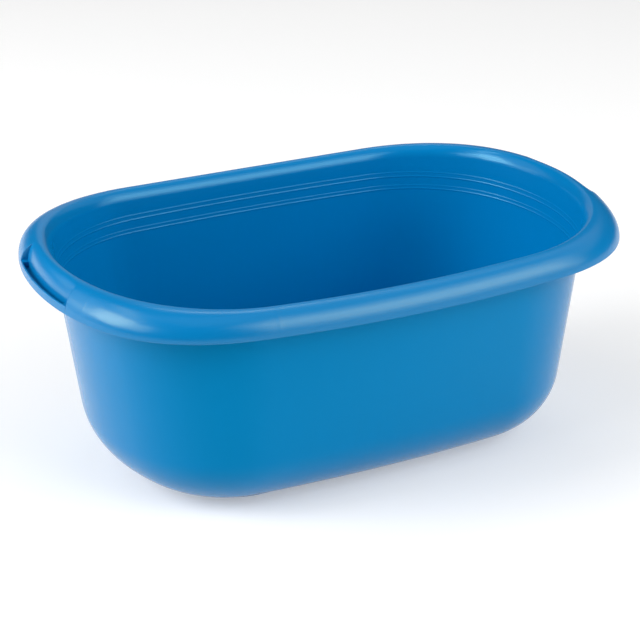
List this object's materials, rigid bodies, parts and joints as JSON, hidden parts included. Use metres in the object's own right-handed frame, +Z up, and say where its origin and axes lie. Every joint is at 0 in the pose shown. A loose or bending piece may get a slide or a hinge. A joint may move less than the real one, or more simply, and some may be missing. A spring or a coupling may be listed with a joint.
{
  "type": "laundry tub",
  "caption": "Oval moulded plastic laundry tub with drafted walls, a wide rolled rim, low beads inside, a foot ring and a scooped hand grip at each end.",
  "frame": {"origin": "centre of the foot ring, on the surface that the tub stands on", "axes": "+X along the tub's length to the right-hand grip, +Y to the back, +Z up"},
  "size_m": [0.66, 0.436, 0.2622],
  "materials": {
    "blue_plastic": "semi-gloss moulded polypropylene"
  },
  "bodies": {
    "root": {"floor_panel": "blue_plastic", "foot_ring": "blue_plastic", "front_wall": "blue_plastic", "back_wall": "blue_plastic", "left_end_wall": "blue_plastic", "right_end_wall": "blue_plastic", "front_left_wall": "blue_plastic", "front_right_wall": "blue_plastic", "back_left_wall": "blue_plastic", "back_right_wall": "blue_plastic", "front_rim": "blue_plastic", "back_rim": "blue_plastic", "left_end_rim": "blue_plastic", "right_end_rim": "blue_plastic", "front_left_rim": "blue_plastic", "front_right_rim": "blue_plastic", "back_left_rim": "blue_plastic", "back_right_rim": "blue_plastic", "upper_bead": "blue_plastic", "lower_bead": "blue_plastic", "left_grip_bar": "blue_plastic", "right_grip_bar": "blue_plastic"}
  },
  "joints": []
}
